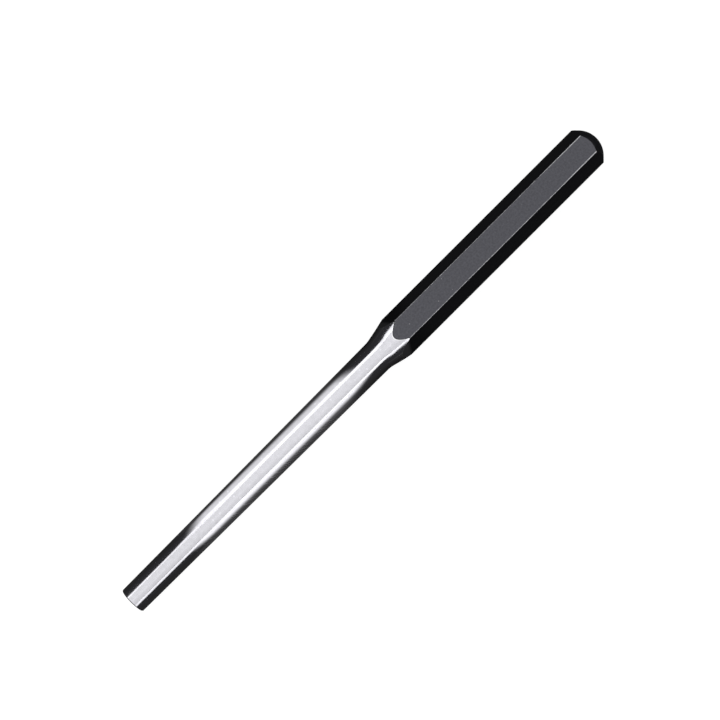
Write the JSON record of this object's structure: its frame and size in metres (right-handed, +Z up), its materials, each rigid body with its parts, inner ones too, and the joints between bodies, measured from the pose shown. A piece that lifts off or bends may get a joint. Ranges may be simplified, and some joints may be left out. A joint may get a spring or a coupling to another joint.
{
  "type": "pin punch",
  "caption": "Solid steel pin punch: black hexagonal shank with a domed struck end, a turned neck cone and a long bright round pin, slightly tapered to a flat face.",
  "frame": {"origin": "middle of the punch's length, on the ground under the axis of the bar", "axes": "+X along the bar from the working face towards the struck crown, +Z up from the flat it lies on"},
  "size_m": [0.18, 0.0126, 0.011],
  "materials": {
    "polished_steel": "turned and polished, with fine marks round the axis",
    "black_finish": "smooth black finish on steel, rubbed bright along the corners"
  },
  "bodies": {
    "root": {"tapered_pin": "polished_steel", "neck_cone": "polished_steel", "hex_shank": "black_finish", "struck_crown": "black_finish"}
  },
  "joints": []
}
